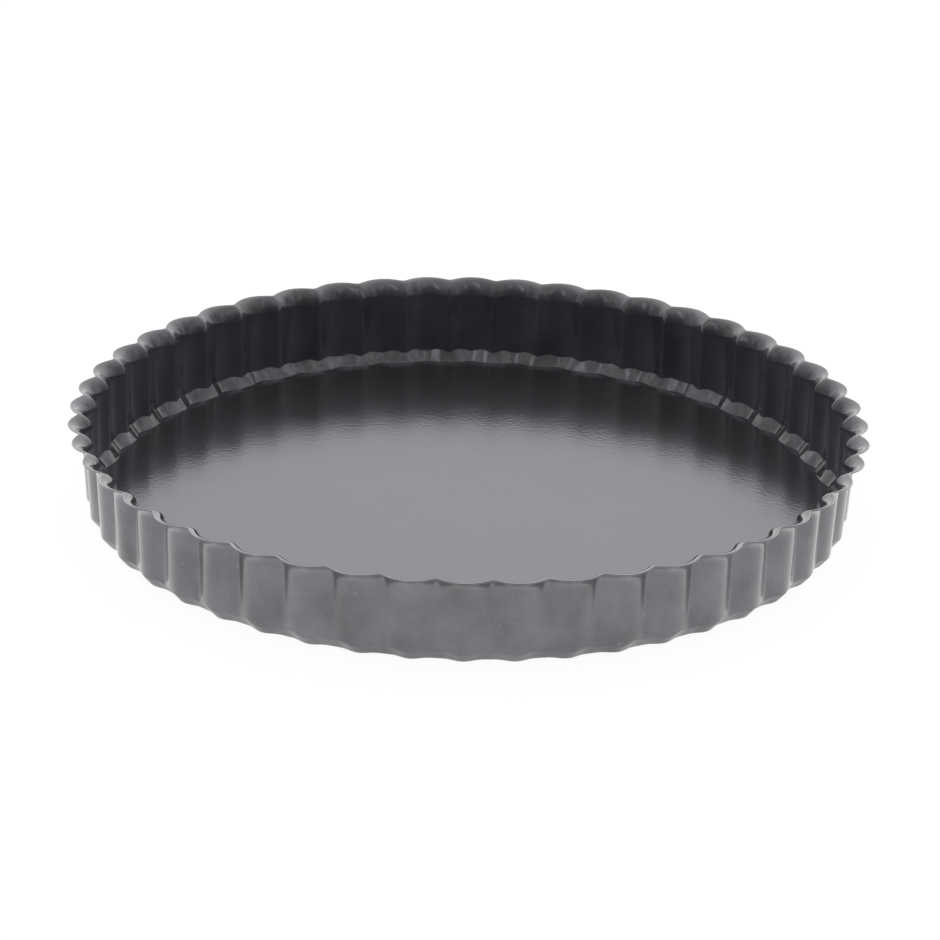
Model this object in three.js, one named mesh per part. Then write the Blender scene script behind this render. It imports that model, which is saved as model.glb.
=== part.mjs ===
// Round fluted flan pan with a loose bottom: a pressed sheet ring and a flat base that rests in it.
// Millimetres, +Z up. The ring stands on the plane z = 0 and its axis is the Z axis.
// Round the ring, a crest is where a flute stands furthest out and a ridge is between two flutes.
import * as THREE from 'three';
import { mergeVertices } from 'three/addons/utils/BufferGeometryUtils.js';

// Ring, driving dimensions
const rimDiameter = 280;                            // across two opposite flute crests at the cut edge
const ringHeight = 32;
const ringSheet = 0.6;                              // sheet thickness
const wallLean = THREE.MathUtils.degToRad(3);       // lean of the wall from upright
const rimLean = THREE.MathUtils.degToRad(80);       // lean of the sheet at the cut edge of the rim
const flareRadius = 6;                              // outside bend from the wall to the rim
const footWidth = 3.65;                             // from the wall's line at a crest in to the ledge's edge
const crestSlope = THREE.MathUtils.degToRad(50);    // rise of the foot's slope under a crest
const ridgeSlope = THREE.MathUtils.degToRad(53);    // and under a ridge
const cornerRadius = 1.5;                           // outside bend from the ledge to the slope
const heelRadius = 1.5;                             // outside bend from the slope to the wall
const ledgeSwell = 1.8;                             // how much further out the ledge reaches at a crest
const ledgeWidth = 10;                              // flat ledge that carries the base, at a ridge

// Flutes pressed into the ring
const fluteCount = 48;
const rimDepth = 3.2;                               // from crest to ridge at the rim
const footDepth = 2;                                // and at the foot, where the ridges run out
const rimRounding = 0.9;                            // softness of a ridge at the rim, along the ring
const footRounding = 2;                             // and at the foot

// Loose base, driving dimensions
const baseSheet = 0.9;                              // sheet thickness
const baseClearance = 0.5;                          // gap between the base and the ledge's edge at a ridge
const baseEdgeBreak = 0.2;                          // chamfer of the cut edge, top and bottom

// Steps that the round stretches are drawn with
const stepsPerFlute = 6;
const cornerSteps = 1;
const heelSteps = 2;
const flareSteps = 3;
const baseSides = 96;

// On a crest, the flare's bend has its centre outside the wall. Its inner face is the higher one at the
// cut edge.
const flareCentre = new THREE.Vector2(
  rimDiameter / 2 + flareRadius * Math.cos(rimLean),
  ringHeight - (flareRadius + ringSheet) * Math.sin(rimLean),
);

// The wall's line on a crest meets the ground at this radius, and the flat ledge ends inside of it.
const wallGroundRadius = flareCentre.x
  - flareRadius / Math.cos(wallLean)
  - flareCentre.y * Math.tan(wallLean);
const crestLedgeRadius = wallGroundRadius - footWidth;
const ridgeLedgeRadius = crestLedgeRadius - ledgeSwell;

// The foot's bends are no larger than the foot is wide.
const corner = Math.min(cornerRadius, footWidth);
const heel = Math.min(heelRadius, footWidth);

const coat = {
  ring: { color: 0x6c6c71, roughness: 0.45, metalness: 0.6 },
  base: { color: 0x57575c, roughness: 0.25, metalness: 0.7 },
};

// Height of a flute at an angle round the ring, 1 on a crest and 0 on a ridge:
// a parabola over the crest, with the sharp ridge rounded off by a hyperbola.
function fluteHeight(angle, rounding) {
  const turns = (angle * fluteCount) / (2 * Math.PI);
  const fromRidge = 1 - 2 * Math.abs(turns - Math.round(turns));
  const softness = rounding / ((Math.PI * rimDiameter) / (2 * fluteCount));
  const soft = (Math.hypot(fromRidge, softness) - softness) / (Math.hypot(1, softness) - softness);
  return soft * (2 - soft);
}

// Points along a bend in the sheet, from one tilt off the level to another.
// With a negative radius, the bend's centre is on the other side of the sheet.
function bend(centre, radius, fromTilt, toTilt, steps) {
  return Array.from({ length: steps + 1 }, (_, step) => {
    const tilt = THREE.MathUtils.lerp(fromTilt, toTilt, step / steps);
    return new THREE.Vector2(centre.x + radius * Math.sin(tilt), centre.y - radius * Math.cos(tilt));
  });
}

// Centre of the heel's bend: along the slope from the corner's bend, as far as the wall's line allows
// where the flute is sunk in from its crest by `sunk`.
function heelCentre(ledgeEdge, slope, sunk) {
  const centre = new THREE.Vector2(
    ledgeEdge + (corner - heel) * Math.sin(slope),
    corner - (corner - heel) * Math.cos(slope),
  );
  const place = wallGroundRadius - sunk + centre.y * Math.tan(wallLean) - heel / Math.cos(wallLean);
  const length = (place - centre.x) / (Math.cos(slope) - Math.sin(slope) * Math.tan(wallLean));
  return centre.add(new THREE.Vector2(Math.cos(slope), Math.sin(slope)).multiplyScalar(length));
}

// One face of the ring's sheet, set inwards by `inset`, at an angle round the ring:
// ledge, corner, slope, heel, wall and flare, as radius and height.
function sheetFace(angle, inset) {
  const rimFlute = fluteHeight(angle, rimRounding);
  const footFlute = fluteHeight(angle, footRounding);
  const ledgeEdge = THREE.MathUtils.lerp(ridgeLedgeRadius, crestLedgeRadius, footFlute ** 3);
  const slope = THREE.MathUtils.lerp(ridgeSlope, crestSlope, footFlute * (2 - footFlute));
  const wallTilt = Math.PI / 2 - wallLean;
  const rimTilt = Math.PI / 2 - rimLean;
  const heelTurn = heelCentre(ledgeEdge, slope, footDepth * (1 - footFlute));
  const flareTurn = new THREE.Vector2(flareCentre.x - rimDepth * (1 - rimFlute), flareCentre.y);
  return [
    new THREE.Vector2(ridgeLedgeRadius - ledgeWidth, inset),
    ...bend(new THREE.Vector2(ledgeEdge, corner), corner - inset, 0, slope, cornerSteps),
    ...bend(heelTurn, heel - inset, slope, wallTilt, heelSteps),
    ...bend(flareTurn, -flareRadius - inset, wallTilt, rimTilt, flareSteps),
  ];
}

// The sheet's closed section is turned round the axis as it is on a crest, then each column takes
// the section of its own angle.
function flutedRing() {
  const section = (angle) => {
    const outline = [...sheetFace(angle, 0), ...sheetFace(angle, ringSheet).reverse()];
    return [...outline, outline[0]];
  };
  const columns = fluteCount * stepsPerFlute;
  const crestSection = section(0);
  const geometry = new THREE.LatheGeometry(crestSection, columns);
  const position = geometry.attributes.position;
  for (let column = 0; column <= columns; column += 1) {
    const angle = (2 * Math.PI * (column % columns)) / columns;
    section(angle).forEach(({ x: radius, y: height }, row) => {
      const vertex = column * crestSection.length + row;
      position.setXYZ(vertex, radius * Math.sin(angle), height, radius * Math.cos(angle));
    });
  }
  return upright(geometry);
}

// The base is a flat disc with a broken edge, seated on the ledge.
function looseBase() {
  const radius = ridgeLedgeRadius - baseClearance;
  const under = ringSheet;
  const top = ringSheet + baseSheet;
  const outline = [
    new THREE.Vector2(0, under),
    new THREE.Vector2(radius - baseEdgeBreak, under),
    new THREE.Vector2(radius, under + baseEdgeBreak),
    new THREE.Vector2(radius, top - baseEdgeBreak),
    new THREE.Vector2(radius - baseEdgeBreak, top),
    new THREE.Vector2(0, top),
  ];
  return upright(new THREE.LatheGeometry(outline, baseSides));
}

// Stands a turned shape up along +Z and joins its seam.
function upright(geometry) {
  geometry.rotateX(Math.PI / 2);
  geometry.deleteAttribute('normal');
  geometry.deleteAttribute('uv');
  const joined = mergeVertices(geometry);
  joined.computeVertexNormals();
  return joined;
}

function piece(name, geometry, finish) {
  const mesh = new THREE.Mesh(geometry, new THREE.MeshStandardMaterial(finish));
  mesh.name = name;
  return mesh;
}

const pan = new THREE.Group();
pan.add(piece('fluted_ring', flutedRing(), coat.ring));
pan.add(piece('loose_base', looseBase(), coat.base));

export default pan;
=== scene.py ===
import math

import bpy
import numpy as np
from mathutils import Matrix, Vector


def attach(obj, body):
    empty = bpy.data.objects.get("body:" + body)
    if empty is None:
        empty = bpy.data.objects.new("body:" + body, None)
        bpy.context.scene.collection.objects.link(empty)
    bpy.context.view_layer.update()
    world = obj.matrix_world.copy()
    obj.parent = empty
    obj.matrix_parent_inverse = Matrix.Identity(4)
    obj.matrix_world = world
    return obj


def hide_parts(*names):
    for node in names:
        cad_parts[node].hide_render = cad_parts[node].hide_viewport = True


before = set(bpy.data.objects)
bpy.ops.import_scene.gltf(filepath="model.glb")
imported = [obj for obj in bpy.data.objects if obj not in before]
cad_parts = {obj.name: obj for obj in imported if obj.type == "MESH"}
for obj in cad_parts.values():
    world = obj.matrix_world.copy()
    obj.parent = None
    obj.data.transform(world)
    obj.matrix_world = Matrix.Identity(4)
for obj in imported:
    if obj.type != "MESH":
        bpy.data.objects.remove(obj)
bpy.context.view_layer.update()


# A mesh object at the origin, with its place in its mesh.
def newPiece(name, vertices, polygons):
    mesh = bpy.data.meshes.new(name)
    mesh.from_pydata(vertices.tolist(), [], polygons)
    piece = bpy.data.objects.new(name, mesh)
    bpy.context.scene.collection.objects.link(piece)
    return piece


# A grid is rows x columns of points. Columns run round the pan and always close on themselves;
# rows follow the section. Each face joins four neighbours of the grid. With poles, the first and
# the last row are shut by a fan to a point on the axis.
def gridPiece(name, points, rowsClose, poles=False):
    rows, columns = points.shape[:2]
    across = np.arange(columns)
    following = (across + 1) % columns
    bands = rows if rowsClose else rows - 1
    here = np.arange(bands)[:, None] * columns
    above = ((np.arange(bands) + 1) % rows)[:, None] * columns
    faces = np.stack([here + across, here + following, above + following, above + across], -1)
    vertices = points.reshape(-1, 3)
    polygons = faces.reshape(-1, 4).tolist()
    if poles:
        first, last = rows * columns, rows * columns + 1
        vertices = np.vstack([vertices, points[0].mean(0), points[-1].mean(0)])
        top = (rows - 1) * columns
        shutBottom = np.stack([np.full(columns, first), following, across], -1)
        shutTop = np.stack([np.full(columns, last), top + across, top + following], -1)
        polygons += shutBottom.tolist() + shutTop.tolist()
    piece = newPiece(name, vertices, polygons)
    piece.data.polygons.foreach_set("use_smooth", np.ones(len(polygons), dtype=bool))
    piece.data.update()
    return piece


# One number for each vertex, which the materials read by name; the points at poles get 0.
def vertexValue(piece, name, values):
    layer = piece.data.attributes.new(name, "FLOAT", "POINT")
    padded = np.zeros(len(piece.data.vertices), dtype=np.float32)
    padded[:values.size] = values.ravel()
    layer.data.foreach_set("value", padded)


# Each input takes a value, or a link where it is given a socket.
def feed(tree, node, inputs):
    for key, value in inputs.items():
        if isinstance(value, bpy.types.NodeSocket):
            tree.links.new(value, node.inputs[key])
        else:
            node.inputs[key].default_value = value


def addNode(tree, kind, settings=None, inputs=None):
    node = tree.nodes.new(kind)
    for key, value in (settings or {}).items():
        setattr(node, key, value)
    feed(tree, node, inputs or {})
    return node


# One step of arithmetic on numbers and sockets.
def calc(tree, operation, *values):
    inputs = dict(enumerate(values))
    return addNode(tree, "ShaderNodeMath", {"operation": operation}, inputs).outputs[0]


def oneLess(tree, value):
    return calc(tree, "SUBTRACT", 1.0, value)


# Carries a value straight from one span to another, and holds it at the ends.
def ranged(tree, value, span=(0.0, 1.0), result=(0.0, 1.0)):
    node = addNode(tree, "ShaderNodeMapRange", None, {
        "Value": value, "From Min": span[0], "From Max": span[1],
        "To Min": result[0], "To Max": result[1]})
    return node.outputs[0]


# The mix node repeats its sockets for each kind of data; the numbers pick its colour ones.
def mixColour(tree, share, first, second):
    node = addNode(tree, "ShaderNodeMix", {"data_type": "RGBA"}, {0: share, 6: first, 7: second})
    return node.outputs[2]


def noise(tree, place, scale, detail, roughness):
    node = addNode(tree, "ShaderNodeTexNoise", None, {
        "Vector": place, "Scale": scale, "Detail": detail, "Roughness": roughness})
    return node.outputs[0]


def centredNoise(tree, place, scale, detail, roughness):
    return calc(tree, "SUBTRACT", noise(tree, place, scale, detail, roughness), 0.5)


def readValue(tree, name):
    return addNode(tree, "ShaderNodeAttribute", {"attribute_name": name}).outputs["Fac"]


def objectPlace(tree):
    return addNode(tree, "ShaderNodeTexCoord").outputs["Object"]


coatSpray = {
    "scales": {"Cloud": 60.0, "Grain": 700.0, "Speck": 260.0, "Peel": 420.0},
    "cloud": (2.0, 0.55),      # detail and roughness of each noise
    "grain": (3.0, 0.65),
    "peel": (2.0, 0.5),
    "speckSize": (0.08, 0.2),  # a speck is whole within the first distance, gone at the second
    "speckRare": 0.93,         # share of the cells that hold no speck
}


# Sprayed and baked coat: cloudy blotches, fine grain and a few tiny specks of dust in it. Cloud
# and Grain are centred on 0, Speck goes from 0 to 1, Peel is the height of the orange peel.
def coatGroup(values):
    group = bpy.data.node_groups.new("sprayedCoat", "ShaderNodeTree")
    face = group.interface
    face.new_socket("Place", in_out="INPUT", socket_type="NodeSocketVector")
    for name, scale in values["scales"].items():
        socket = face.new_socket(name + " Scale", in_out="INPUT", socket_type="NodeSocketFloat")
        socket.default_value = scale
    for name in values["scales"]:
        face.new_socket(name, in_out="OUTPUT", socket_type="NodeSocketFloat")
    entry = addNode(group, "NodeGroupInput").outputs
    place = entry["Place"]
    cells = addNode(group, "ShaderNodeTexVoronoi", None, {
        "Vector": place, "Scale": entry["Speck Scale"], "Randomness": 1.0}).outputs
    near = ranged(group, cells["Distance"], values["speckSize"], (1.0, 0.0))
    lots = addNode(group, "ShaderNodeSeparateColor", None, {"Color": cells["Color"]}).outputs
    chosen = calc(group, "GREATER_THAN", lots[0], values["speckRare"])    # each cell draws one
    addNode(group, "NodeGroupOutput", None, {
        "Cloud": centredNoise(group, place, entry["Cloud Scale"], *values["cloud"]),
        "Grain": centredNoise(group, place, entry["Grain Scale"], *values["grain"]),
        "Speck": calc(group, "MULTIPLY", near, chosen),
        "Peel": noise(group, place, entry["Peel Scale"], *values["peel"]),
    })
    return group


sprayedCoat = coatGroup(coatSpray)
print("coat: node group", sprayedCoat.name)


# A new material with the sprayed coat in it, at scales of its own where it gives any.
def newCoat(name, scales=None):
    material = bpy.data.materials.new(name)
    material.use_nodes = True
    tree = material.node_tree
    inputs = {"Place": objectPlace(tree), **(scales or {})}
    coat = addNode(tree, "ShaderNodeGroup", {"node_tree": sprayedCoat}, inputs)
    return material, tree, coat.outputs


# Shade of a coat about 1, with its clouds and its grain.
def coatShade(tree, coat, cloudShade, grainShade):
    shade = calc(tree, "MULTIPLY_ADD", coat["Cloud"], cloudShade, 1.0)
    return calc(tree, "MULTIPLY_ADD", coat["Grain"], grainShade, shade)


# What all coats share: cut edges are rubbed bright, which on the ring's rim also stands as a
# painted highlight, the colour is scaled by its shade, clouds vary the roughness, and the orange
# peel is a bump.
def dressCoat(tree, coat, values, colour, shade, rough):
    rubbedAndHighlit = calc(tree, "MULTIPLY", readValue(tree, "cutEdge"), values["rubbedAndHighlitShare"])
    colour = mixColour(tree, rubbedAndHighlit, colour, values["rubbedAndHighlit"])
    shaded = addNode(tree, "ShaderNodeVectorMath", {"operation": "SCALE"}, {0: colour, "Scale": shade})
    bump = addNode(tree, "ShaderNodeBump", None, {
        "Height": coat["Peel"], "Strength": 1.0, "Distance": values["peelHeight"]})
    shader = tree.nodes["Principled BSDF"]
    feed(tree, shader, {
        "Base Color": shaded.outputs[0],
        "Roughness": calc(tree, "MULTIPLY_ADD", coat["Cloud"], values["roughSpread"], rough),
        "Normal": bump.outputs[0],
    })
    return shader


# The ring: a crest is where a flute stands furthest out, a ridge is between two flutes.
panRing = {
    # shape, in metres
    "rimRadius": 0.140,      # to a flute crest at the cut edge
    "height": 0.032,
    "sheet": 0.0006,
    "wallLean": math.radians(3),
    "rimLean": math.radians(80),
    "flareRadius": 0.006,
    "footWidth": 0.00365,    # from the wall's line at a crest in to the edge of the flat ledge
    "crestSlope": math.radians(50),
    "ridgeSlope": math.radians(53),
    "cornerRadius": 0.0015,  # outside bend from the ledge to the slope
    "heelRadius": 0.0015,    # outside bend from the slope to the wall
    "ledgeSwell": 0.0018,    # how much further out the ledge reaches at a crest
    "ledgeWidth": 0.010,     # at a ridge
    "flutes": 48,
    "rimDepth": 0.0032,      # of a flute at the rim
    "footDepth": 0.0020,     # and at the foot, where the ridges run out
    "rimRounding": 0.0009,   # softness of a ridge at the rim
    "footRounding": 0.0020,  # and at the foot
    # steps along the section and round the ring
    "stepsPerFlute": 24,
    "gather": 1.6,           # above 1 the columns crowd towards the ridges
    "ledgeRows": 2,
    "cornerRows": 6,
    "slopeRows": 3,
    "heelRows": 8,
    "wallRows": 4,
    "flareRows": 12,
    "edgeRows": 5,
    # finish
    "coat": (0.167, 0.164, 0.18, 1),
    # the dark inside colour is a painted shade
    "insideShade": (0.083, 0.081, 0.098, 1),
    "rubbedAndHighlit": (0.7, 0.7, 0.72, 1),
    "rubbedAndHighlitShare": 0.8,      # how bright the cut edges are rubbed; on the rim this is also a painted highlight
    "roughOutside": 0.3,
    "roughInside": 0.13,
    "roughSpread": 0.2,
    "metal": 0.8,            # of the coat; the painted dark inside has none
    "lacquerRough": 0.16,
    "peelHeight": 0.00003,
    "slopeShade": 0.25,      # share of the painted shade left on the slope of the foot, which is painted light
    "slopeLightEdge": 0.5,         # softness of the edges of that band
    "blotch": 2.4,           # how patchy the painted light on that slope is
    "runs": (420.0, 2.0, 0.6),   # scale, detail and roughness of the runs, a noise in the painted light and shade inside
    "runDraw": 0.15,         # below 1 the runs are drawn out upright
    "lip": (0.12, 0.72),     # shares of the flare where the painted shade begins to give way to painted light, and is gone
    "lipLeast": 0.001,       # below this share it doesn't fade
    "lipLightWander": 1.2,             # how far the border of that painted light wanders
    "streakShade": 0.3,      # upright streaks in the painted shade
    "footPaintedLight": 1.05,       # painted light: the foot outside is coloured a little lighter
    "cloudShade": 1.2,
    "grainShade": 0.3,       # outside only
    "speckShade": 0.35,
}


# Angles of the columns: each half flute runs from crest to ridge as 1 - (1 - s) ** gather.
def fluteAngles(ring):
    half = ring["stepsPerFlute"] // 2
    share = 1 - (1 - np.arange(half + 1) / half) ** ring["gather"]
    oneFlute = np.concatenate([share, 2 - share[-2:0:-1]]) / 2
    starts = np.arange(ring["flutes"])[:, None]
    return ((starts + oneFlute) * (2 * math.pi / ring["flutes"])).ravel()


# Flute height round the ring, 1 on a crest and 0 on a ridge: a parabola over the crest, its sharp
# foot rounded off by a hyperbola, as in the part's source.
def fluteHeight(ring, angles, rounding):
    turns = angles * ring["flutes"] / (2 * math.pi)
    fromCrest = 2 * np.abs(turns - np.round(turns))
    fromRidge = 1 - fromCrest
    halfPitch = math.pi * ring["rimRadius"] / ring["flutes"]
    softness = rounding / halfPitch
    soft = (np.hypot(fromRidge, softness) - softness) / (math.hypot(1, softness) - softness)
    return soft * (2 - soft)


# Radius and height of the centre of the flare's bend at a ridge.
def flareCentre(ring):
    flare, rimLean = ring["flareRadius"], ring["rimLean"]
    radius = ring["rimRadius"] - ring["rimDepth"] + flare * math.cos(rimLean)
    height = ring["height"] - (flare + ring["sheet"]) * math.sin(rimLean)
    return radius, height


# Where the wall's line at a ridge meets the ground.
def groundRadius(ring):
    flareR, flareZ = flareCentre(ring)
    lean = ring["wallLean"]
    return flareR - ring["flareRadius"] / math.cos(lean) - flareZ * math.tan(lean)


# Where the flat ledge ends under a crest.
def crestLedge(ring):
    return groundRadius(ring) + ring["rimDepth"] - ring["footWidth"]


# The foot at each column: edge of the ledge, tilt of the slope, and centre of the heel's bend.
# The ledge swells out towards a crest by the cube of the flute height. The slope eases quickly
# from a ridge to its crest value, and is as long as it takes to reach the wall's line.
def ringFoot(ring, angles):
    corner, heel, lean = ring["cornerRadius"], ring["heelRadius"], ring["wallLean"]
    flute = fluteHeight(ring, angles, ring["footRounding"])
    reach = ring["rimDepth"] - ring["footDepth"] * (1 - flute)
    ledgeEdge = crestLedge(ring) - ring["ledgeSwell"] * (1 - flute ** 3)
    ease = flute * (2 - flute)
    slope = ring["ridgeSlope"] + (ring["crestSlope"] - ring["ridgeSlope"]) * ease
    along, upward = np.cos(slope), np.sin(slope)
    run = corner * upward + heel * (math.cos(lean) - upward)
    rise = corner * (1 - along) + heel * (along - math.sin(lean))
    straight = groundRadius(ring) + reach + rise * math.tan(lean) - ledgeEdge - run
    straight = straight / (along - upward * math.tan(lean))
    heelR = ledgeEdge + (corner - heel) * upward + straight * along
    heelZ = corner * (1 - along) + straight * upward + heel * along
    return ledgeEdge, slope, heelR, heelZ


# Even steps from 0 to end without either, as a column.
def stepsBetween(rows, end=1):
    return np.linspace(0, end, rows + 2)[1:-1, None]


# The sheet's section at each column's angle, as radius and height, rows x columns: up the outside
# over ledge, corner, slope, heel, wall and flare, half a turn round the cut edge, down the inside,
# and half a turn round the edge of the ledge. Bends are arcs about their centres, and straight
# stretches run from the end of one to the start of the next.
def ringSection(ring, angles):
    sheet, lean, rimLean = ring["sheet"], ring["wallLean"], ring["rimLean"]
    corner, heel, flare = ring["cornerRadius"], ring["heelRadius"], ring["flareRadius"]
    flareR, flareZ = flareCentre(ring)
    rimReach = ring["rimDepth"] * fluteHeight(ring, angles, ring["rimRounding"])
    ledgeEdge, slope, heelR, heelZ = ringFoot(ring, angles)
    halfSheet = sheet / 2
    lipR = crestLedge(ring) - ring["ledgeSwell"] - ring["ledgeWidth"] + halfSheet
    lastLean = rimLean - halfSheet / (flare + halfSheet)    # leaves room for the round cut edge
    level = np.zeros_like(angles)    # added to a column, it spreads it over all angles
    out = np.linspace(0, 1, ring["ledgeRows"] + 1)[:-1, None]
    cornerTilt = np.linspace(level, slope, ring["cornerRows"])
    ramp = stepsBetween(ring["slopeRows"])
    heelTilt = np.linspace(slope, level + math.pi / 2 - lean, ring["heelRows"])
    climb = stepsBetween(ring["wallRows"])
    flareTurn = np.linspace(lean, lastLean, ring["flareRows"])[:, None]
    edgeTurn = stepsBetween(ring["edgeRows"], math.pi)

    def face(inset):
        ledgeR = lipR + (ledgeEdge - lipR) * out
        cornerR = ledgeEdge + (corner - inset) * np.sin(cornerTilt)
        cornerZ = corner - (corner - inset) * np.cos(cornerTilt)
        heelFaceR = heelR + (heel - inset) * np.sin(heelTilt)
        heelFaceZ = heelZ - (heel - inset) * np.cos(heelTilt)
        slopeR = cornerR[-1] + (heelFaceR[0] - cornerR[-1]) * ramp
        slopeZ = cornerZ[-1] + (heelFaceZ[0] - cornerZ[-1]) * ramp
        flareFaceR = flareR + rimReach - (flare + inset) * np.cos(flareTurn)
        flareFaceZ = flareZ + (flare + inset) * np.sin(flareTurn) + level
        wallR = heelFaceR[-1] + (flareFaceR[0] - heelFaceR[-1]) * climb
        wallZ = heelFaceZ[-1] + (flareFaceZ[0] - heelFaceZ[-1]) * climb
        return (np.vstack([ledgeR, cornerR, slopeR, heelFaceR, wallR, flareFaceR]),
                np.vstack([0 * ledgeR + inset, cornerZ, slopeZ, heelFaceZ, wallZ, flareFaceZ]))

    outerR, outerZ = face(0.0)
    innerR, innerZ = face(sheet)
    rimTurn = edgeTurn - lastLean
    rimR = flareR + rimReach - (flare + halfSheet) * math.cos(lastLean) + halfSheet * np.cos(rimTurn)
    rimZ = flareZ + (flare + halfSheet) * math.sin(lastLean) + halfSheet * np.sin(rimTurn) + level
    edgeR = lipR - halfSheet * np.sin(edgeTurn) + level
    edgeZ = halfSheet + halfSheet * np.cos(edgeTurn) + level
    radius = np.vstack([outerR, rimR, innerR[::-1], edgeR])
    height = np.vstack([outerZ, rimZ, innerZ[::-1], edgeZ])
    return radius, height


# What the finish has to know at each point of the section: inside is 1 within the ring, half on
# the rim's edge and 0 outside; lip climbs from 0 to 1 up the inside of the flare; gloss is 0 on
# the foot outside, where the colour is painted a little lighter, climbs over the heel and is 1 above
# it and inside; cutEdge is the upper corner of the rim's edge, rubbed bright and a painted
# highlight, and the edge of the ledge; the last is how much of the dark inside colour, a painted
# shade, lies inside. It gives way to painted light between the ledge (-1) and the top of the heel
# (1) as 1 less the fourth power of the place.
def ringMasks(ring, height):
    columns = height.shape[1]
    footRows = ring["ledgeRows"] + ring["cornerRows"] + ring["slopeRows"]
    heelEnd = footRows + ring["heelRows"]
    flareStart = heelEnd + ring["wallRows"]
    faceRows, edgeRows = flareStart + ring["flareRows"], ring["edgeRows"]
    edgeTurn = stepsBetween(edgeRows, math.pi)
    climbed, flared = np.zeros((faceRows, 1)), np.zeros((faceRows, 1))
    climbed[footRows:heelEnd, 0] = np.linspace(0, 1, ring["heelRows"])
    climbed[heelEnd:] = 1
    flared[flareStart:, 0] = np.linspace(0, 1, ring["flareRows"])
    inner = height[faceRows + edgeRows:][:faceRows][::-1] - ring["sheet"]
    upSlope = 2 * inner / inner[heelEnd - 1] - 1
    slopeLight = np.clip((1 - upSlope ** 4) / ring["slopeLightEdge"], 0, 1)

    def around(outside, rim, within, ledge):
        face, edge = (faceRows, columns), (edgeRows, columns)
        return np.vstack([np.broadcast_to(outside, face), np.broadcast_to(rim, edge),
                          np.broadcast_to(within, face)[::-1], np.broadcast_to(ledge, edge)])

    return {
        "inside": around(0, 0.5, 1, 0),
        "lip": around(0, 1, flared, 0),
        "gloss": around(climbed, 1, 1, 0),
        "cutEdge": around(0, np.maximum(0, -np.sin(2 * edgeTurn)), 0, np.sin(edgeTurn)),
        # painted shade inside, giving way to painted light on the slope of the foot
        "shadeShare": around(0, 0, 1 - (1 - ring["slopeShade"]) * slopeLight, 0),
    }


# Each point of the section is turned to its column's angle.
def fluteRing(ring):
    angles = fluteAngles(ring)
    radius, height = ringSection(ring, angles)
    points = np.stack([radius * np.cos(angles), radius * np.sin(angles), height], -1)
    piece = gridPiece("flutedRing", points, rowsClose=True)
    for name, values in ringMasks(ring, height).items():
        vertexValue(piece, name, values)
    return piece


# Satin coat outside and on the lip. Inside, the dark colour is a painted shade; it gives way to the
# coat as painted light on the lip and on the slope of the foot. The runs, a noise drawn out upright,
# make that painted light patchy on the slope, fray its border on the lip and streak the painted
# shade. Wherever the painted shade is absent or gives way a clear lacquer lies on the coat, apart
# from the foot outside, which has none and is painted a little lighter.
def ringMaterial(ring):
    material, tree, coat = newCoat("ringCoat")
    inside, lip, gloss, shadeShare = [readValue(tree, name) for name in ("inside", "lip", "gloss", "shadeShare")]
    drawn = addNode(tree, "ShaderNodeMapping", None, {
        "Vector": objectPlace(tree), "Scale": (1.0, 1.0, ring["runDraw"])})
    runs = centredNoise(tree, drawn.outputs[0], *ring["runs"])
    # painted light on the slope of the foot, made patchy by the runs
    slopeLightShare = calc(tree, "MULTIPLY", oneLess(tree, shadeShare), inside)
    patchy = calc(tree, "MULTIPLY", calc(tree, "MULTIPLY", runs, ring["blotch"]), slopeLightShare)
    shadeShare = ranged(tree, calc(tree, "ADD", shadeShare, patchy))
    # painted light on the lip, with a frayed border
    border = calc(tree, "MULTIPLY_ADD", runs, ring["lipLightWander"], lip)
    onLip = calc(tree, "GREATER_THAN", lip, ring["lipLeast"])
    lipLight = calc(tree, "MULTIPLY", ranged(tree, border, ring["lip"]), onLip)
    shadeShare = calc(tree, "MULTIPLY", shadeShare, oneLess(tree, lipLight))
    # the dark inside colour is a painted shade
    colour = mixColour(tree, shadeShare, ring["coat"], ring["insideShade"])
    grainShade = ranged(tree, inside, result=(ring["grainShade"], 0.0))
    shade = coatShade(tree, coat, ring["cloudShade"], grainShade)
    shade = calc(tree, "MULTIPLY_ADD", coat["Speck"], ring["speckShade"], shade)
    streak = calc(tree, "MULTIPLY", shadeShare, ring["streakShade"])
    shade = calc(tree, "MULTIPLY_ADD", runs, streak, shade)
    # painted light: the foot outside is coloured a little lighter
    shade = calc(tree, "MULTIPLY", shade, ranged(tree, gloss, result=(ring["footPaintedLight"], 1.0)))
    rough = ranged(tree, inside, result=(ring["roughOutside"], ring["roughInside"]))
    shader = dressCoat(tree, coat, ring, colour, shade, rough)
    feed(tree, shader, {
        "Metallic": ranged(tree, shadeShare, result=(ring["metal"], 0.0)),
        "Coat Weight": calc(tree, "MULTIPLY", gloss, oneLess(tree, shadeShare)),
        "Coat Roughness": ring["lacquerRough"],
    })
    return material


flutedRing = fluteRing(panRing)
flutedRing.data.materials.append(ringMaterial(panRing))
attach(flutedRing, "ring")
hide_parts("fluted_ring")
print("ring:", len(flutedRing.data.polygons), "faces")


panBase = {
    # shape, in metres
    "clearance": 0.0005,     # gap to the edge of the ring's ledge at a ridge
    "sheet": 0.0009,
    "edgeRound": 0.00028,
    "hub": 0.004,            # innermost ring of points, which a fan shuts
    "columns": 288,
    "topRows": 30,
    "edgeRows": 5,
    # finish
    "coat": (0.26, 0.2565, 0.281, 1),
    "rubbedAndHighlit": (0.4, 0.4, 0.41, 1),
    "rubbedAndHighlitShare": 0.6,      # how bright the cut edge is rubbed
    "rough": 0.18,
    "roughSpread": 0.1,
    "metal": 0.86,
    "peelHeight": 0.00005,
    "scales": {"Cloud Scale": 30.0, "Peel Scale": 600.0},
    "cloudShade": 0.1,
    "grainShade": 0.1,
}


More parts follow.
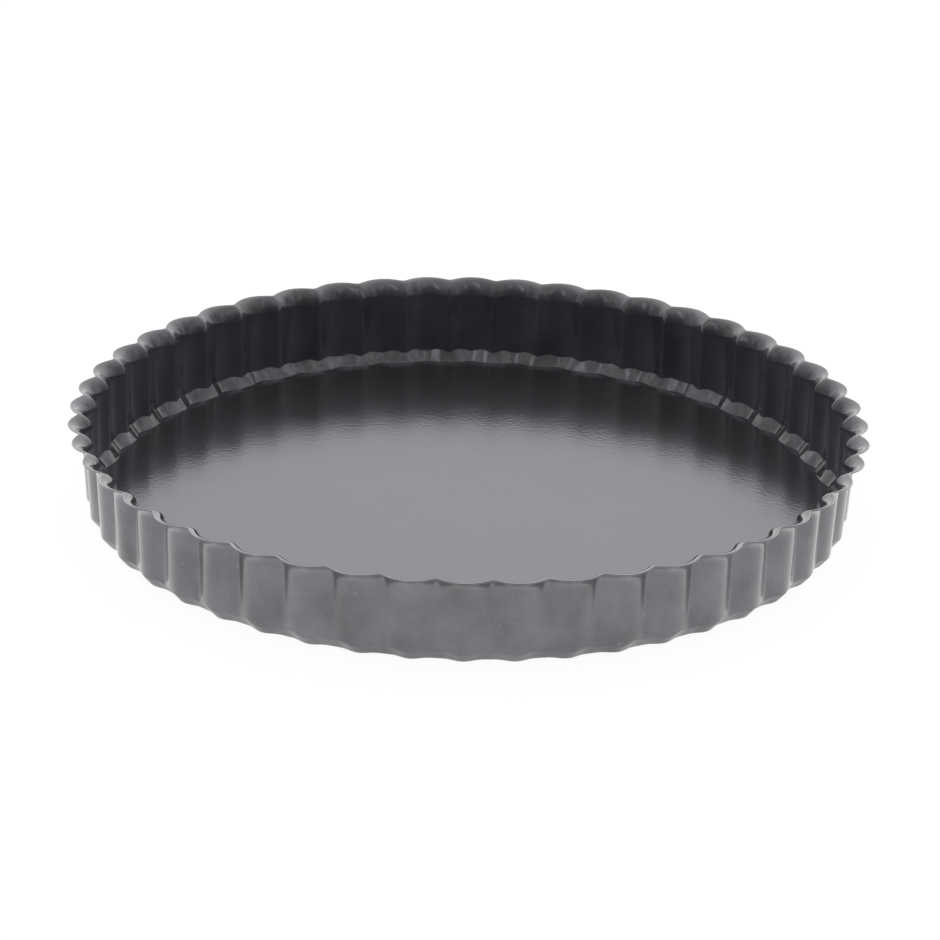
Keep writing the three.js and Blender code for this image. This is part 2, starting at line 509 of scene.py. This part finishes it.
# A disc turned about the axis, lying on the ring's ledge: out along the underside, a quarter turn
# round the lower edge, a quarter turn round the upper edge, and back in along the top. Fans shut
# it at the axis.
def turnDisc(base, ring):
    roundness, under = base["edgeRound"], ring["sheet"]
    top = under + base["sheet"]
    reach = round(crestLedge(ring) - ring["ledgeSwell"] - base["clearance"], 5)    # to 0.01 mm
    flat = reach - roundness
    out = np.linspace(base["hub"], flat, base["topRows"])
    quarter = np.linspace(0, math.pi / 2, base["edgeRows"] + 2)
    low = quarter[1:]
    high = quarter[:-1]
    radius = np.concatenate([out, flat + roundness * np.sin(low),
                             flat + roundness * np.cos(high), out[::-1]])[:, None]
    height = np.concatenate([0 * out + under, under + roundness - roundness * np.cos(low),
                             top - roundness + roundness * np.sin(high), 0 * out + top])[:, None]
    cut = np.concatenate([0 * out, np.sin(low), np.cos(high), 0 * out])
    angles = np.arange(base["columns"]) * (2 * math.pi / base["columns"])
    sideways, forward = radius * np.cos(angles), radius * np.sin(angles)
    points = np.stack(np.broadcast_arrays(sideways, forward, height), -1)
    piece = gridPiece("looseBase", points, rowsClose=False, poles=True)
    vertexValue(piece, "cutEdge", np.repeat(cut, len(angles)))
    return piece


# Half-gloss coat with broad clouds and a fine peel.
def baseMaterial(base):
    material, tree, coat = newCoat("baseCoat", base["scales"])
    shade = coatShade(tree, coat, base["cloudShade"], base["grainShade"])
    shader = dressCoat(tree, coat, base, base["coat"], shade, base["rough"])
    feed(tree, shader, {"Metallic": base["metal"]})
    return material


looseBase = turnDisc(panBase, panRing)
looseBase.data.materials.append(baseMaterial(panBase))
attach(looseBase, "base")
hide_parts("loose_base")
print("base:", len(looseBase.data.polygons), "faces")


studio = {
    "floorHalf": 3.0,        # half the floor's side
    "floorDrop": 0.0001,     # it lies a hair under the ledge
    "floorColour": (0.16, 0.16, 0.16, 1),
    "floorGlow": 0.94,
    # brightness of the room, from the camera's side (-1) to behind the pan (1)
    "sweep": ((-1, 0.1), (-0.81, 0.17), (-0.41, 0.42), (0.28, 0.56), (0.7, 0.92), (0.9, 1.0),
              (1, 1.0)),
    "sweepTilt": math.radians(5),    # how far above level the brightest side lies
    # two lit cloths hang high, left and right of the camera: the turns where each begins, is full,
    # fades and ends, and the sines of the height angle where it begins and is full
    "clothTurn": (math.radians(26), math.radians(32), math.radians(40), math.radians(48)),
    "clothHeight": (0.5, 0.62),
    "clothLevels": (0.45, 0.12),     # left and right
    "clothMiddle": (-0.1, 0.1),      # where left passes into right
}


# The floor is a sheet of paper. Seen straight on or in a reflection it glows, so that it comes out
# white, and the light that it reflects besides still takes the pan's shadow.
def layFloor(values):
    side, drop = values["floorHalf"], values["floorDrop"]
    corners = np.array([[-side, -side, -drop], [side, -side, -drop],
                        [side, side, -drop], [-side, side, -drop]])
    sheet = newPiece("floorSheet", corners, [(0, 1, 2, 3)])
    material = bpy.data.materials.new("floorPaper")
    material.use_nodes = True
    tree = material.node_tree
    tree.nodes.clear()
    paper = addNode(tree, "ShaderNodeBsdfDiffuse", None, {"Color": values["floorColour"]})
    ray = addNode(tree, "ShaderNodeLightPath").outputs
    seen = calc(tree, "MAXIMUM", ray["Is Camera Ray"], ray["Is Glossy Ray"])
    seen = calc(tree, "MAXIMUM", seen, ray["Is Transmission Ray"])
    glow = addNode(tree, "ShaderNodeEmission", None, {
        "Strength": calc(tree, "MULTIPLY", seen, values["floorGlow"])})
    both = addNode(tree, "ShaderNodeAddShader", None, {0: paper.outputs[0], 1: glow.outputs[0]})
    addNode(tree, "ShaderNodeOutputMaterial", None, {"Surface": both.outputs[0]})
    sheet.data.materials.append(material)


# The room: bright behind the pan, about half as bright above it and dim on the camera's side, where
# the two cloths are added. The camera itself sees plain white.
def lightRoom(values):
    world = bpy.data.worlds.new("studioRoom")
    bpy.context.scene.world = world
    world.use_nodes = True
    tree = world.node_tree
    tree.nodes.clear()
    tilt = values["sweepTilt"]
    way = addNode(tree, "ShaderNodeTexCoord").outputs["Generated"]
    along = addNode(tree, "ShaderNodeVectorMath", {"operation": "DOT_PRODUCT"}, {
        0: way, 1: (0.0, math.cos(tilt), math.sin(tilt))})
    sweep = addNode(tree, "ShaderNodeValToRGB", None, {
        "Fac": ranged(tree, along.outputs["Value"], (-1.0, 1.0))})
    stops = sweep.color_ramp.elements    # there is one at each end to begin with
    sides, levels = zip(*values["sweep"])
    for side in sides[1:-1]:
        stops.new((side + 1) / 2)
    for stop, level in zip(stops, levels):
        stop.color = (level, level, level, 1)
    axes = addNode(tree, "ShaderNodeSeparateXYZ", None, {"Vector": way}).outputs
    front = calc(tree, "MULTIPLY", axes["Y"], -1.0)
    turn = calc(tree, "ARCTAN2", calc(tree, "ABSOLUTE", axes["X"]), front)
    starts, full, fades, ends = values["clothTurn"]
    cloth = calc(tree, "MULTIPLY", ranged(tree, turn, (starts, full)),
                 ranged(tree, turn, (fades, ends), (1.0, 0.0)))
    cloth = calc(tree, "MULTIPLY", cloth, ranged(tree, axes["Z"], values["clothHeight"]))
    level = ranged(tree, axes["X"], values["clothMiddle"], values["clothLevels"])
    bright = calc(tree, "ADD", sweep.outputs["Color"], calc(tree, "MULTIPLY", cloth, level))
    ray = addNode(tree, "ShaderNodeLightPath").outputs
    seen = calc(tree, "MAXIMUM", ray["Is Camera Ray"], ray["Is Transmission Ray"])
    shown = addNode(tree, "ShaderNodeBackground", None, {
        "Color": (1, 1, 1, 1), "Strength": calc(tree, "MAXIMUM", seen, bright)})
    addNode(tree, "ShaderNodeOutputWorld", None, {"Surface": shown.outputs[0]})


layFloor(studio)
lightRoom(studio)
print("studio: floor and room")


view = {
    "place": (0.0, -1.14174, 0.5015),
    "aim": (0.00079, 0.0, 0.01078),
    "roll": math.radians(1.543),
    "lens": 134.92,
    "sensor": 36.0,
    "clip": (0.01, 50.0),
}


# Looks from place to aim, then rolls about its own line of sight.
def setCamera(values):
    lens = bpy.data.cameras.new("photoCamera")
    lens.lens, lens.sensor_width = values["lens"], values["sensor"]
    lens.clip_start, lens.clip_end = values["clip"]
    camera = bpy.data.objects.new("photoCamera", lens)
    bpy.context.scene.collection.objects.link(camera)
    sight = Vector(values["aim"]) - Vector(values["place"])
    turned = sight.to_track_quat("-Z", "Y").to_matrix() @ Matrix.Rotation(values["roll"], 3, "Z")
    camera.matrix_world = Matrix.Translation(values["place"]) @ turned.to_4x4()
    bpy.context.scene.camera = camera


setCamera(view)
bpy.context.scene.view_settings.view_transform = "Standard"
print("camera: lens", view["lens"], "mm")
